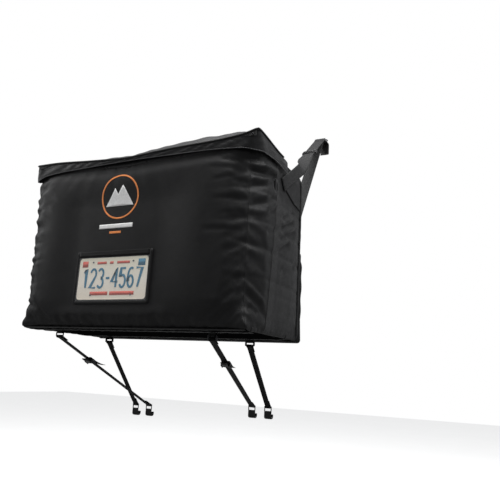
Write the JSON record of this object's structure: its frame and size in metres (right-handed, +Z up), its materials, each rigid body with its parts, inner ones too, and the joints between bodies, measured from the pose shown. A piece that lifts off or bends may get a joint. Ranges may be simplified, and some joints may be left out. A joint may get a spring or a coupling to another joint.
{
  "type": "cargo carrier bag",
  "caption": "Soft-sided cargo bag that straps to the back of a vehicle, with a fold-back zip lid, plate pocket, rear pad, webbing straps, buckles and hooks.",
  "frame": {"origin": "on the rear pad's face that rests on the vehicle, in the middle of the bag's width and at half the bag's height", "axes": "+Y out of the pad's face towards the vehicle, +Z up, +X to the right seen from behind the vehicle"},
  "size_m": [0.983, 0.972, 1.3702],
  "materials": {
    "front_fabric": "coated woven polyester, satin",
    "side_fabric": "coated woven polyester, satin",
    "base_board": "moulded sheet",
    "pad_fabric": "foam in coated fabric",
    "grip_mat": "open-cell non-slip mesh, matte",
    "piping": "coated, satin",
    "webbing": "woven polypropylene",
    "binding": "woven tape",
    "zip_tape": "coil zip tape",
    "steel": "black-coated steel",
    "black_plastic": "moulded acetal, fine texture",
    "hook_coating": "dipped plastic over steel",
    "clear_vinyl": "clear flexible vinyl",
    "plate_metal": "embossed reflective sheet",
    "orange_print": "printed",
    "white_print": "printed"
  },
  "bodies": {
    "bag": {"front_panel": "front_fabric", "back_panel": "front_fabric", "side_panel_left": "side_fabric", "side_panel_right": "side_fabric", "bottom_panel": "front_fabric", "top_rear_panel": "side_fabric", "base_board": "base_board", "back_pad": "pad_fabric", "grip_mat": "grip_mat", "front_piping": "piping", "rear_piping": "piping", "side_webbing_left": "webbing", "side_webbing_right": "webbing", "base_webbing_front": "webbing", "base_webbing_rear": "webbing", "corner_wing_left": "side_fabric", "corner_wing_right": "side_fabric", "zipper_tape": "zip_tape", "plate_pocket": "front_fabric", "pocket_window": "clear_vinyl", "badge_ring": "orange_print", "badge_peaks": "white_print", "badge_bars": "white_print", "top_strap_left": "webbing", "top_strap_right": "webbing", "back_strap_left": "webbing", "back_strap_right": "webbing", "top_ring_left": "steel", "top_ring_right": "steel", "anchor_tabs": "webbing", "anchor_rings": "steel", "ladder_locks": "black_plastic", "bottom_strap_front_left": "webbing", "bottom_strap_front_right": "webbing", "bottom_strap_rear_left": "webbing", "bottom_strap_rear_right": "webbing", "cam_frames": "steel", "cam_pins": "steel"},
    "lid": {"lid_panel": "side_fabric", "lid_skirt": "side_fabric", "lid_binding": "binding", "lid_corner_patches": "binding", "lid_eyelets": "steel"},
    "zip_slider_left": {"zip_slider_left": "steel"},
    "zip_slider_right": {"zip_slider_right": "steel"},
    "zip_pull_left": {"zip_pull_left": "webbing"},
    "zip_pull_right": {"zip_pull_right": "webbing"},
    "number_plate": {"number_plate": "plate_metal"},
    "top_buckle_left": {"top_buckle_left": "black_plastic"},
    "top_buckle_right": {"top_buckle_right": "black_plastic"},
    "hatch_hook_left": {"hatch_hook_left": "hook_coating"},
    "hatch_hook_right": {"hatch_hook_right": "hook_coating"},
    "cam_lever_left": {"cam_lever_left": "black_plastic"},
    "cam_lever_right": {"cam_lever_right": "black_plastic"},
    "bumper_hook_front_right": {"bumper_hook_front_right": "hook_coating"},
    "bumper_hook_rear_right": {"bumper_hook_rear_right": "hook_coating"},
    "bumper_hook_front_left": {"bumper_hook_front_left": "hook_coating"},
    "bumper_hook_rear_left": {"bumper_hook_rear_left": "hook_coating"}
  },
  "joints": [
    {"name": "lid_fold", "type": "hinge", "parent": "bag", "child": "lid", "pos_m": [0, -0.25, 0.329], "axis": [-1, 0, 0], "range_deg": [0, 105]},
    {"name": "zip_slide_left", "type": "slide", "parent": "bag", "child": "zip_slider_left", "axis": [0, -1, 0], "range_m": [0, 0.13]},
    {"name": "zip_pull_swing_left", "type": "hinge", "parent": "zip_slider_left", "child": "zip_pull_left", "pos_m": [-0.485, -0.318, 0.3], "axis": [1, 0, 0], "range_deg": [-25, 20]},
    {"name": "top_buckle_slide_left", "type": "slide", "parent": "bag", "child": "top_buckle_left", "axis": [0.1246, 0.8172, 0.5627], "range_m": [0, 0.12]},
    {"name": "hatch_hook_turn_left", "type": "hinge", "parent": "bag", "child": "hatch_hook_left", "pos_m": [-0.403, 0.422, 0.698], "axis": [1, 0, 0], "range_deg": [-75, 40]},
    {"name": "cam_lever_press_left", "type": "hinge", "parent": "bag", "child": "cam_lever_left", "pos_m": [-0.3318, -0.24411, -0.43617], "axis": [1, 0.0081, -0.0034], "range_deg": [0, 60], "stiffness_Nm_per_rad": 0.05, "springref_deg": -11.46},
    {"name": "zip_slide_right", "type": "slide", "parent": "bag", "child": "zip_slider_right", "axis": [0, -1, 0], "range_m": [0, 0.13]},
    {"name": "zip_pull_swing_right", "type": "hinge", "parent": "zip_slider_right", "child": "zip_pull_right", "pos_m": [0.485, -0.318, 0.3], "axis": [1, 0, 0], "range_deg": [-25, 20]},
    {"name": "top_buckle_slide_right", "type": "slide", "parent": "bag", "child": "top_buckle_right", "axis": [-0.1246, 0.8172, 0.5627], "range_m": [0, 0.12]},
    {"name": "hatch_hook_turn_right", "type": "hinge", "parent": "bag", "child": "hatch_hook_right", "pos_m": [0.403, 0.422, 0.698], "axis": [1, 0, 0], "range_deg": [-75, 40]},
    {"name": "cam_lever_press_right", "type": "hinge", "parent": "bag", "child": "cam_lever_right", "pos_m": [0.2892, -0.24379, -0.4267], "axis": [0.9801, 0.1859, -0.0691], "range_deg": [0, 60], "stiffness_Nm_per_rad": 0.05, "springref_deg": -11.46},
    {"name": "plate_slide", "type": "slide", "parent": "bag", "child": "number_plate", "axis": [0, 0, 1], "range_m": [0, 0.17]},
    {"name": "bumper_hook_swing_front_right", "type": "hinge", "parent": "bag", "child": "bumper_hook_front_right", "pos_m": [0.194, 0.2, -0.583], "axis": [1, 0, 0], "range_deg": [-40, 70]},
    {"name": "bumper_hook_swing_rear_right", "type": "hinge", "parent": "bag", "child": "bumper_hook_rear_right", "pos_m": [0.269, 0.2, -0.582], "axis": [1, 0, 0], "range_deg": [-40, 70]},
    {"name": "bumper_hook_swing_front_left", "type": "hinge", "parent": "bag", "child": "bumper_hook_front_left", "pos_m": [-0.336, 0.2, -0.615], "axis": [1, 0, 0], "range_deg": [-40, 70]},
    {"name": "bumper_hook_swing_rear_left", "type": "hinge", "parent": "bag", "child": "bumper_hook_rear_left", "pos_m": [-0.411, 0.2, -0.616], "axis": [1, 0, 0], "range_deg": [-40, 70]}
  ]
}
